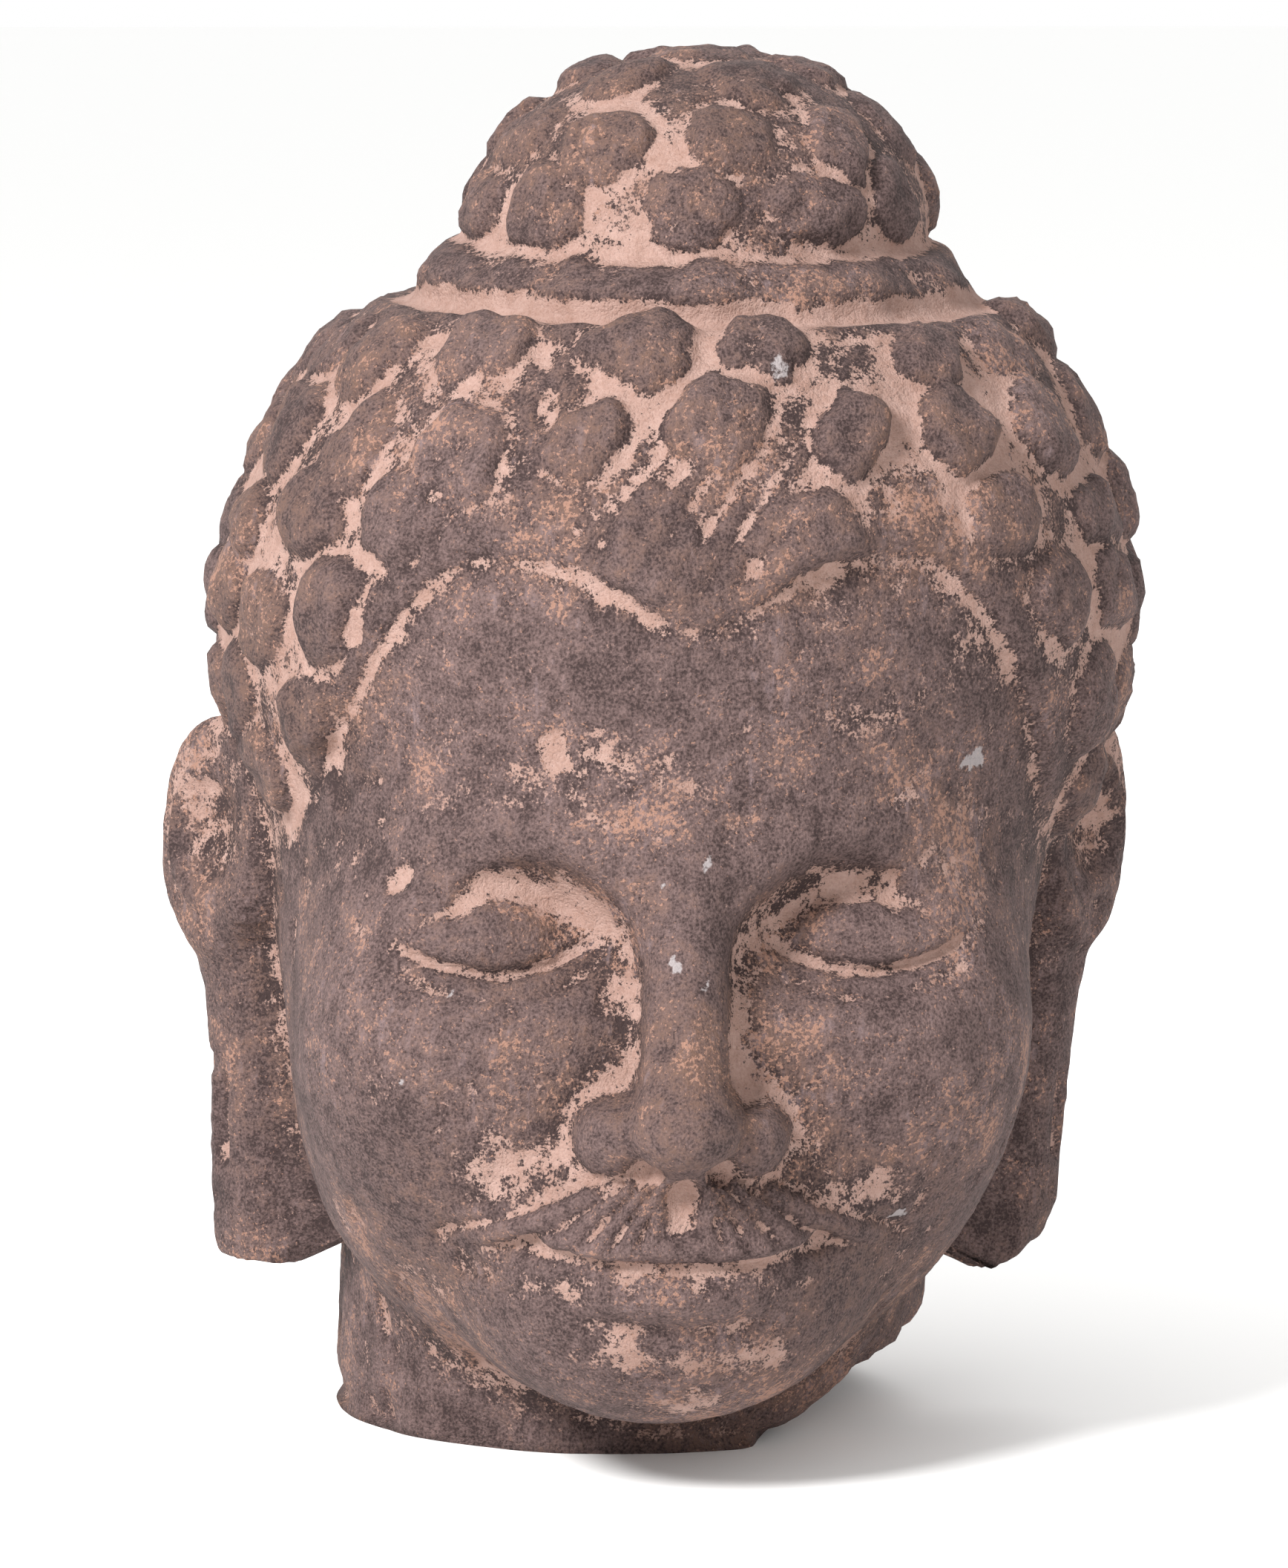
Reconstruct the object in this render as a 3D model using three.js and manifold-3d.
// A carved stone buddha head: a round head with curled hair, a topknot tied by a cord, long ears,
// lowered eyes and a combed moustache, broken off at the neck. It is one solid stone.
// Millimetres, +Z up, face towards -Y. The origin is on the flat underside of the neck stub.

import * as THREE from "three";
import { mergeVertices } from "three/addons/utils/BufferGeometryUtils.js";
import Module from "manifold-3d";

const wasm = await Module();
wasm.setup();

// ---- Driving dimensions -------------------------------------------------------------------

const LEAN = 0.035; // sideways lean of the head, per millimetre of height
const STONE_COLOUR = 0x6e5f5c;

// Each mass is an ellipsoid: its centre and its half sizes across, front to back and up.
// Those made in pairs are mirrored to the other side of the face.
const SKULL = { centre: [2.5, 6, 141], half: [76, 80, 72] };
const NAPE = { centre: [0, 26, 98], half: [66, 58, 56] };
const MASK = { centre: [0, -8, 92], half: [65, 69, 84] };
const JAW = { centre: [0, -25, 56], half: [57, 53, 42] };
const CHIN = { centre: [0, -56, 32], half: [30, 27, 21] };
const CHEEK_PAIR = { centre: [34, -46, 74], half: [25, 27, 27] };
const MUZZLE = { centre: [0, -60, 45], half: [27, 25, 20] };
const SOCKET_PAIR = { centre: [31, -84, 98], half: [27, 22, 13.5] };
const LID_PAIR = { centre: [31, -52, 93.5], half: [17.5, 17, 11] };
const NOSE_TIP = { centre: [0, -89, 65], half: [8.5, 9, 7] };
const NOSE_WING_PAIR = { centre: [11, -80, 63], half: [6.5, 8.5, 6] };
const UPPER_LIP_PAIR = { centre: [7.5, -81, 45.3], half: [13, 6, 3.6] };
const LOWER_LIP = { centre: [0, -81, 37], half: [14, 6.5, 4.7] };
const TOPKNOT = { centre: [4, 5, 207], half: [40, 41, 30] };

// The brow is an arch that drops by arch * distance^2 from its peak.
const BROW = { peakX: 30, height: 112, arch: 0.011, proud: 1.3, width: 4 };
const NOSE_RIDGE = { top: [0, -70, 110], topRadius: 5.6, end: [0, -87.5, 67], endRadius: 7.8 };

// Each wing of the moustache runs between two points [x, z] and narrows as it goes.
const MOUSTACHE = { from: [2.5, 52.5], to: [38, 46], width: [5.6, 3.2], proud: 1.9, roundness: 0.6 };
const WING_ENDS = { inner: [-0.06, 0.06], outer: [1.08, 0.75] };


// How softly each mass runs into the stone.
const FILLET = {
  nape: 16,
  mask: 10,
  jaw: 14,
  chin: 14,
  cheek: 16,
  neck: 8,
  hair: 1.5,
  lid: 3,
  noseTip: 4,
  nose: 5,
  muzzle: 12,
  lip: 3,
  ear: 3,
  earRoot: 5,
  earHollow: 2.5,
  lobe: 5,
  lobeFoot: 2,
  topknot: 4,
  groove: 2.5,
  cord: 1.5,
  hairEdge: 3,
  brokenEdge: 2.5,
};
// A socket's edge is crisp at the brow and soft at the cheek.
const SOCKET_EDGE = { crisp: 1.6, soft: 6, softAt: 88, crispAt: 100 };
const HAIR_EDGE_SLOPE = 0.6;
const FRONT = { from: -20, to: -45 }; // the face begins and is full at these depths
const TEMPLE = { from: 54, to: 40 }; // the brows die away between these distances from the middle

const NECK = { centreY: 16, halfX: 52, halfY: 50, top: 90 };
const BREAK = { edgeX: 23, skew: 0.23, skewFromY: -10, slope: 0.53, rise: 0.85 };

// An ear is a plate that turns outwards towards the back. Its shapes are given through the plate,
// along it and up.
const EAR = { x: 74.5, y: 8, turnDeg: 35 };
const EAR_PLATE = { centre: [0, 0, 102.5], half: [7, 15.5, 20] };
const EAR_ROOT = { centre: [-9, 2, 97], half: [12, 15, 27] };
const EAR_HOLLOW = { centre: [7.5, -1, 103], half: [6, 9, 12] };
const LOBE = { top: [-7, -1, 86], topRadius: 9.5, end: [-12.3, -4, 22], endRadius: 10.5 };
// The lobes are cut off level with each other once the head leans.
const LOBE_FOOT = { height: 25.5, tilt: -0.026 };
const LOBE_FLATTEN = 1.5;

const HAIR_DEPTH = 2.6;
const HAIRLINE = { height: 157, peakDip: 11, peakWidth: 11, templeDrop: 57, templeFrom: 26, templeTo: 70 };
const NAPELINE = { drop: 40, from: 94, to: 126 };

// The cord lies in a plane that dips to the front, between two grooves in the same plane.
const CORD_PLANE = { z: 202, tilt: 0.05, flatness: 0.95 };
const CORD = { radius: 42.8, over: 0, thickness: 2.2 };
const CORD_GROOVES = [
  { radius: 43.6, over: 4.4, thickness: 2.1 },
  { radius: 51, over: -4.2, thickness: 2.6 },
];

// A ring of curls: degrees down from the crown, how many, and the first one's offset in steps.
const CURL = { height: 3.2, sunk: 4, sides: 5, unevenness: 0.1, shoulder: { out: 0.72, up: 0.74 } };
const SKULL_CURLS = {
  radius: 9.6,
  tilt: 0,
  firstRow: 0,
  rows: [
    { down: 53, count: 16, offset: 0.5 },
    { down: 64.5, count: 20, offset: 0.05 },
    { down: 76, count: 21, offset: 0.55 },
    { down: 87, count: 22, offset: 0.1 },
    { down: 98.5, count: 22, offset: 0.6 },
    { down: 110, count: 21, offset: 0.1 },
    { down: 121.5, count: 19, offset: 0.6 },
  ],
};
const TOPKNOT_CURLS = {
  radius: 8.8,
  tilt: 5,
  firstRow: 20,
  rows: [
    { down: 81, count: 11, offset: -0.27 },
    { down: 61, count: 10, offset: 0.12 },
    { down: 35, count: 6, offset: 0.33 },
    { down: 5, count: 1, offset: 0 },
  ],
};
const HAND_DEGREES = { turn: 3, down: 2.2 }; // how far a curl strays from its even place
const CURL_MARGINS = { aboveHairline: 5, underCord: 6.5, ear: { from: 72, to: 112, top: 122 } };
const WORN_PATCH = { centre: [3, -74, 163], half: [17, 30, 12], depth: 0.85 };

// The skin is read along rays of length REACH that fan out from an upright spine in the head.
// Each station is a ring of rays: its elevation in degrees and its height on the spine.
const REACH = 130;
const SPINE = { y: 4, shiftFrom: 150, shiftTo: 178, foot: 55 };
const STATIONS = [
  { name: "top", elevation: 90, height: 178 },
  { name: "above the cord", elevation: 43, height: 172 },
  { name: "below the cord", elevation: 39, height: 160 },
  { name: "front curls", elevation: 24, height: 133 },
  { name: "forehead", elevation: 6, height: 118 },
  { name: "eyes", elevation: -4, height: 100 },
  { name: "foot of the nose", elevation: -13, height: 78 },
  { name: "mouth", elevation: -18, height: 62 },
  { name: "under the chin", elevation: -32, height: 58 },
];

// Two grids of rays: a fine one for the face and ears, whose columns crowd together at the nose and
// at the ears, and a coarse one under the curls. Rows are counted between stations, then to the rim.
const FACE_GRID = { columns: 69, noseCrowding: 3, earCrowding: 2, rows: [1, 1, 1, 4, 7, 5, 5, 3, 2] };
const HAIR_GRID = { columns: 24, noseCrowding: 0, earCrowding: 0, rows: [3, 4, 3, 3, 2, 2, 2, 1, 1] };
const CROWDING = { noseWidth: 30, earTurn: 88, earWidth: 12 };

// The fine grid is kept inside these blocks and the coarse one outside them.
const FACE_BLOCKS = [
  { from: [-120, -160, -5], to: [120, 26, 126] },
  { from: [-120, -160, -5], to: [120, -45, 151] },
];

// ---- Shapes as distances: below 0 is inside ---------------------------------------------------

const { abs, atan2, cos, exp, hypot, max, min, sin, PI } = Math;
const radians = THREE.MathUtils.degToRad;
const degrees = THREE.MathUtils.radToDeg;

// Goes from 0 at low to 1 at high along 3t^2 - 2t^3; low may be the greater.
function smoothStep(low, high, value) {
  const t = min(max((value - low) / (high - low), 0), 1);
  return t * t * (3 - 2 * t);
}

// Falls off both ways from 1 at 0.
function bell(value, width) {
  return exp(-((value / width) ** 2));
}

// Joins two distances with a fillet of about the given size.
function join(a, b, fillet) {
  const near = max(fillet - abs(a - b), 0) / fillet;
  return min(a, b) - near * near * fillet * 0.25;
}

// Keeps what is inside both distances, with a rounded edge.
function keep(a, b, softness) {
  return -join(-a, -b, softness);
}

function ellipsoid(x, y, z, { centre, half }) {
  const px = (x - centre[0]) / half[0];
  const py = (y - centre[1]) / half[1];
  const pz = (z - centre[2]) / half[2];
  const reach = hypot(px, py, pz) + 1e-9;
  const slope = hypot(px / half[0], py / half[1], pz / half[2]) + 1e-9;
  return (reach * (reach - 1)) / slope;
}

// A rod with ball ends, whose radius runs evenly from one end to the other.
function rod(x, y, z, from, fromRadius, to, toRadius) {
  const axis = to.map((end, k) => end - from[k]);
  const start = [x - from[0], y - from[1], z - from[2]];
  const dot = start[0] * axis[0] + start[1] * axis[1] + start[2] * axis[2];
  const t = min(max(dot / (axis[0] ** 2 + axis[1] ** 2 + axis[2] ** 2), 0), 1);
  const off = hypot(start[0] - t * axis[0], start[1] - t * axis[1], start[2] - t * axis[2]);
  return off - (fromRadius + (toRadius - fromRadius) * t);
}

// The height over the cord's plane.
function overCord(y, z) {
  return z - CORD_PLANE.z - CORD_PLANE.tilt * (y - TOPKNOT.centre[1]);
}

// An oval ring round the topknot's axis, so far over the cord.
function ring(x, y, z, { radius, over, thickness }) {
  const ahead = (y - TOPKNOT.centre[1]) * CORD_PLANE.flatness;
  const out = hypot(x - TOPKNOT.centre[0], ahead) - radius;
  return hypot(out, overCord(y, z) - over) - thickness;
}

// ---- The head's form ----------------------------------------------------------------------------

// The azimuth from the middle of the face, the same to both sides, in degrees.
function azimuth(x, y) {
  return degrees(atan2(abs(x), SKULL.centre[1] - y));
}

// The height of the hair's lower edge: a peak at the middle of the brow, two arcs, the temples
// and, behind the ears, the nape.
function hairlineHeight(x, y) {
  const turn = azimuth(x, y);
  const peak = HAIRLINE.peakDip * bell(turn, HAIRLINE.peakWidth);
  const temple = HAIRLINE.templeDrop * smoothStep(HAIRLINE.templeFrom, HAIRLINE.templeTo, turn);
  const nape = NAPELINE.drop * smoothStep(NAPELINE.from, NAPELINE.to, turn);
  return HAIRLINE.height - peak - temple - nape;
}

function facePlanes(x, side, y, z, skull) {
  let d = join(skull, ellipsoid(x, y, z, MASK), FILLET.mask);
  d = join(d, ellipsoid(x, y, z, JAW), FILLET.jaw);
  d = join(d, ellipsoid(x, y, z, CHIN), FILLET.chin);
  return join(d, ellipsoid(side, y, z, CHEEK_PAIR), FILLET.cheek);
}

function neck(x, y, z) {
  const across = hypot(x, ((y - NECK.centreY) * NECK.halfX) / NECK.halfY);
  return max(across - NECK.halfX, z - NECK.top);
}

// 1 on the face and 0 behind it.
function front(y) {
  return smoothStep(FRONT.from, FRONT.to, y);
}

// The brows stand proud above the sockets, and the lids lie in them.
function eyes(d, side, y, z) {
  const arched = z + BROW.arch * (side - BROW.peakX) ** 2;
  const temple = smoothStep(TEMPLE.from, TEMPLE.to, side) * front(y);
  const proud = BROW.proud * bell(arched - BROW.height, BROW.width) * temple;
  const { crisp, soft, softAt, crispAt } = SOCKET_EDGE;
  const softness = crisp + soft * (1 - smoothStep(softAt, crispAt, z));
  const carved = keep(d - proud, -ellipsoid(side, y, arched, SOCKET_PAIR), softness);
  return join(carved, ellipsoid(side, y, z, LID_PAIR), FILLET.lid);
}

function nose(x, side, y, z) {
  const { top, topRadius, end, endRadius } = NOSE_RIDGE;
  const ridge = rod(x, y, z, top, topRadius, end, endRadius);
  const tipped = join(ridge, ellipsoid(x, y, z, NOSE_TIP), FILLET.noseTip);
  return join(tipped, ellipsoid(side, y, z, NOSE_WING_PAIR), FILLET.noseTip);
}

// The height of the moustache's wings: an arch across, which tapers at both ends.
function moustache(side, y, z) {
  const { from, to, width, proud, roundness } = MOUSTACHE;
  const along = (side - from[0]) / (to[0] - from[0]);
  const wide = width[0] + (width[1] - width[0]) * min(along, 1);
  const across = (z - from[1] - (to[1] - from[1]) * along) / wide;
  const ends = smoothStep(...WING_ENDS.inner, along) * smoothStep(...WING_ENDS.outer, along);
  return proud * max(1 - across ** 2, 0) ** roundness * ends * front(y);
}

function mouth(d, x, side, y, z) {
  const full = join(d, ellipsoid(x, y, z, MUZZLE), FILLET.muzzle) - moustache(side, y, z);
  const upper = join(full, ellipsoid(side, y, z, UPPER_LIP_PAIR), FILLET.lip);
  return join(upper, ellipsoid(x, y, z, LOWER_LIP), FILLET.lip);
}

function ears(x, side, y, z) {
  const out = [cos(radians(EAR.turnDeg)), -sin(radians(EAR.turnDeg))];
  const through = (side - EAR.x) * out[0] + (y - EAR.y) * out[1];
  const along = (y - EAR.y) * out[0] - (side - EAR.x) * out[1];
  const root = ellipsoid(through, along, z, EAR_ROOT);
  const plate = join(ellipsoid(through, along, z, EAR_PLATE), root, FILLET.earRoot);
  const shell = keep(plate, -ellipsoid(through, along, z, EAR_HOLLOW), FILLET.earHollow);
  const { top, topRadius, end, endRadius } = LOBE;
  const lobe = rod(through * LOBE_FLATTEN, along, z, top, topRadius, end, endRadius);
  const belowFoot = LOBE_FOOT.height + LOBE_FOOT.tilt * x - z;
  return join(shell, keep(lobe, belowFoot, FILLET.lobeFoot), FILLET.lobe);
}

// The topknot, with a groove each side of the cord at its foot.
function topknot(d, x, y, z) {
  const knotted = join(d, ellipsoid(x, y, z, TOPKNOT), FILLET.topknot);
  const grooved = CORD_GROOVES.reduce(
    (all, groove) => keep(all, -ring(x, y, z, groove), FILLET.groove),
    knotted,
  );
  return join(grooved, ring(x, y, z, CORD), FILLET.cord);
}

// How far a point is outside the slanting break at one side of the neck.
function pastTheBreak(x, y, z) {
  return (x - BREAK.edgeX - BREAK.skew * (y - BREAK.skewFromY)) * BREAK.slope - z * BREAK.rise;
}

function headDistance(worldX, y, z) {
  const x = worldX - LEAN * z;
  const side = abs(x);
  const skull = join(ellipsoid(x, y, z, SKULL), ellipsoid(x, y, z, NAPE), FILLET.nape);
  const underHair = (hairlineHeight(x, y) - z) * HAIR_EDGE_SLOPE;
  let d = facePlanes(x, side, y, z, skull);
  d = join(d, neck(x, y, z), FILLET.neck);
  d = join(d, keep(skull - HAIR_DEPTH, underHair, FILLET.hairEdge), FILLET.hair);
  d = eyes(d, side, y, z);
  d = join(d, nose(x, side, y, z), FILLET.nose);
  d = mouth(d, x, side, y, z);
  d = join(d, ears(x, side, y, z), FILLET.ear);
  d = topknot(d, x, y, z);
  d = keep(d, pastTheBreak(x, y, z), FILLET.brokenEdge);
  return max(d, -z);
}

// ---- Skin -----------------------------------------------------------------------------------

// The outermost point of the head along a ray from inside it. The ray is walked inwards by most of
// the distance to the stone, and then halved until the skin is found.
function surfacePoint(from, direction) {
  const at = (r) =>
    headDistance(from[0] + direction[0] * r, from[1] + direction[1] * r, from[2] + direction[2] * r);
  let r = REACH;
  for (let d = at(r); d > 0.02 && r > 1; d = at(r)) r -= max(d * 0.8, 0.02);
  let inside = r - 1;
  let outside = r + 1;
  for (let i = 0; i < 16; i++) {
    const middle = (inside + outside) / 2;
    if (at(middle) < 0) inside = middle;
    else outside = middle;
  }
  return new THREE.Vector3(...direction).multiplyScalar(outside).add(new THREE.Vector3(...from));
}

function directionOf(turn, elevation) {
  return [sin(turn) * cos(elevation), -cos(turn) * cos(elevation), sin(elevation)];
}

// The spine leans with the head and shifts over to stand under the topknot.
function spinePoint(height) {
  const shift = smoothStep(SPINE.shiftFrom, SPINE.shiftTo, height);
  return [
    LEAN * height + TOPKNOT.centre[0] * shift,
    SPINE.y + (TOPKNOT.centre[1] - SPINE.y) * shift,
    height,
  ];
}

// The elevation at which the flat underside ends, found by halving.
function rimElevation(turn) {
  let flat = radians(-88);
  let raised = radians(-30);
  for (let i = 0; i < 18; i++) {
    const middle = (flat + raised) / 2;
    if (surfacePoint(spinePoint(SPINE.foot), directionOf(turn, middle)).z < 0.02) flat = middle;
    else raised = middle;
  }
  return flat;
}

// One column's rays from the top down to the underside's rim and its middle.
function columnRays(turn, { rows }) {
  const rim = { elevation: degrees(rimElevation(turn)), height: SPINE.foot };
  const ends = [...STATIONS, rim];
  const rays = [STATIONS[0]];
  rows.forEach((count, k) => {
    const [from, to] = [ends[k], ends[k + 1]];
    for (let i = 1; i <= count; i++) {
      const elevation = from.elevation + ((to.elevation - from.elevation) * i) / count;
      rays.push({ elevation, height: from.height + ((to.height - from.height) * i) / count });
    }
  });
  return [...rays, { elevation: -90, height: SPINE.foot }];
}

// The columns' azimuths: equal shares of a density that rises at the nose and at the ears.
function columnTurns({ columns, noseCrowding, earCrowding }) {
  const steps = 1440;
  const shares = Array.from({ length: steps }, (_, k) => {
    const turn = abs((360 * (k + 0.5)) / steps - 180);
    const ears = earCrowding * bell(turn - CROWDING.earTurn, CROWDING.earWidth);
    return 1 + noseCrowding * bell(turn, CROWDING.noseWidth) + ears;
  });
  const share = shares.reduce((sum, next) => sum + next) / columns;
  const turns = [];
  shares.reduce((sum, next, k) => {
    if (sum >= turns.length * share - 1e-6) turns.push((2 * PI * k) / steps - PI);
    return sum + next;
  }, 0);
  return turns;
}

// A sphere's grid is drawn on to the head along the rays.
function headSkin(grid) {
  const { columns } = grid;
  const rows = columnRays(0, grid).length - 1;
  const turns = columnTurns(grid);
  const skin = new THREE.SphereGeometry(1, columns, rows);
  for (let column = 0; column <= columns; column++) {
    const turn = turns[column % columns];
    columnRays(turn, grid).forEach(({ elevation, height }, row) => {
      const point = surfacePoint(spinePoint(height), directionOf(turn, radians(elevation)));
      const z = row < rows - 1 ? point.z : 0;
      skin.attributes.position.setXYZ(row * (columns + 1) + column, point.x, point.y, z);
    });
  }
  return skin;
}

function block({ from, to }) {
  const size = to.map((end, axis) => end - from[axis]);
  const middle = to.map((end, axis) => (end + from[axis]) / 2);
  return new THREE.BoxGeometry(...size).translate(...middle);
}

// ---- Curls ------------------------------------------------------------------------------------

// A small repeatable irregularity between -1 and 1, as a hand carver leaves it.
function handwork(row, i, salt) {
  const wave = sin(row * 12.9898 + i * 78.233 + salt * 37.719) * 43758.5453;
  return 2 * (wave - Math.floor(wave)) - 1;
}

// The seats of a mass's curls, where rays from its middle leave the stone. A ray goes down from
// upright by its row's angle plus tilt times the cosine of its azimuth.
function seatsOn({ centre }, { radius, tilt, firstRow, rows }) {
  const from = [centre[0] + LEAN * centre[2], centre[1], centre[2]];
  return rows.flatMap(({ down, count, offset }, k) => {
    const row = firstRow + k;
    return Array.from({ length: count }, (_, i) => {
      const turn = (2 * PI * (i + offset)) / count + radians(HAND_DEGREES.turn * handwork(row, i, 1));
      const steep = radians(down + tilt * cos(turn) + HAND_DEGREES.down * handwork(row, i, 2));
      return { point: surfacePoint(from, directionOf(turn, PI / 2 - steep)), row, i, radius };
    });
  });
}

// Curls stay above the hairline, under the cord and clear of the ears.
function onTheHair({ point }) {
  const x = point.x - LEAN * point.z;
  const turn = azimuth(x, point.y);
  const { aboveHairline, underCord, ear: gap } = CURL_MARGINS;
  const overEar = turn > gap.from && turn < gap.to && point.z < gap.top;
  const high = point.z - hairlineHeight(x, point.y) > aboveHairline;
  return high && !overEar && overCord(point.y, point.z) < -underCord;
}

// The outward normal at a point, from how the head's distance grows there.
function facingAt({ x, y, z }) {
  const step = 1.5;
  return new THREE.Vector3(
    headDistance(x + step, y, z) - headDistance(x - step, y, z),
    headDistance(x, y + step, z) - headDistance(x, y - step, z),
    headDistance(x, y, z + step) - headDistance(x, y, z - step),
  ).normalize();
}

// The curls over the peak of the hairline are worn nearly flat.
function wornAway({ x, y, z }) {
  const { centre, half, depth } = WORN_PATCH;
  const off = [x - LEAN * z, y, z].map((at, axis) => (at - centre[axis]) / half[axis]);
  return depth * bell(hypot(...off), 1);
}

// A curl is a low dome with a shoulder, whose foot is sunk in the hair.
function curlDome({ point, row, i, radius }) {
  const height = CURL.height * (1 - wornAway(point));
  const size = radius * (1 + CURL.unevenness * handwork(row, i, 3));
  const profile = [
    [0, height],
    [CURL.shoulder.out * size, CURL.shoulder.up * height],
    [size, -CURL.sunk],
    [0, -CURL.sunk],
  ];
  const outline = profile.map(([r, h]) => new THREE.Vector2(r, h)).reverse();
  const dome = new THREE.LatheGeometry(outline, CURL.sides);
  dome.rotateX(PI / 2); // the lathe turns about Y; a curl stands on Z
  dome.rotateZ(PI * handwork(row, i, 5));
  const up = new THREE.Vector3(0, 0, 1);
  dome.applyQuaternion(new THREE.Quaternion().setFromUnitVectors(up, facingAt(point)));
  return dome.translate(point.x, point.y, point.z);
}

// ---- The stone --------------------------------------------------------------------------------

// A closed three.js geometry as a solid that can be joined to others.
function solid(geometry) {
  for (const name of ["normal", "uv"]) geometry.deleteAttribute(name);
  const merged = mergeVertices(geometry, 1e-3);
  const made = new wasm.Manifold(
    new wasm.Mesh({
      numProp: 3,
      vertProperties: merged.attributes.position.array,
      triVerts: new Uint32Array(merged.index.array),
    }),
  );
  if (made.volume() < 0) throw new Error("a solid faces inwards");
  return made;
}

// The face and the hair are two readings of one form, so they meet at the blocks' sides.
function carvedHead() {
  const blocks = FACE_BLOCKS.map(block).map(solid).reduce((all, next) => all.add(next));
  const face = solid(headSkin(FACE_GRID)).intersect(blocks);
  const hair = solid(headSkin(HAIR_GRID)).subtract(blocks);
  const seats = [...seatsOn(SKULL, SKULL_CURLS).filter(onTheHair), ...seatsOn(TOPKNOT, TOPKNOT_CURLS)];
  const curls = seats.map(curlDome).map(solid);
  const { vertProperties, triVerts } = curls.reduce((all, curl) => all.add(curl), face.add(hair)).getMesh();
  const geometry = new THREE.BufferGeometry();
  geometry.setAttribute("position", new THREE.BufferAttribute(vertProperties, 3));
  return geometry.setIndex(new THREE.BufferAttribute(triVerts, 1));
}

const stone = new THREE.MeshStandardMaterial({
  color: STONE_COLOUR,
  roughness: 0.9,
  metalness: 0,
  flatShading: true,
});
const head = new THREE.Mesh(carvedHead(), stone);
head.name = "buddha_head";

const part = new THREE.Group();
part.add(head);

export default part;
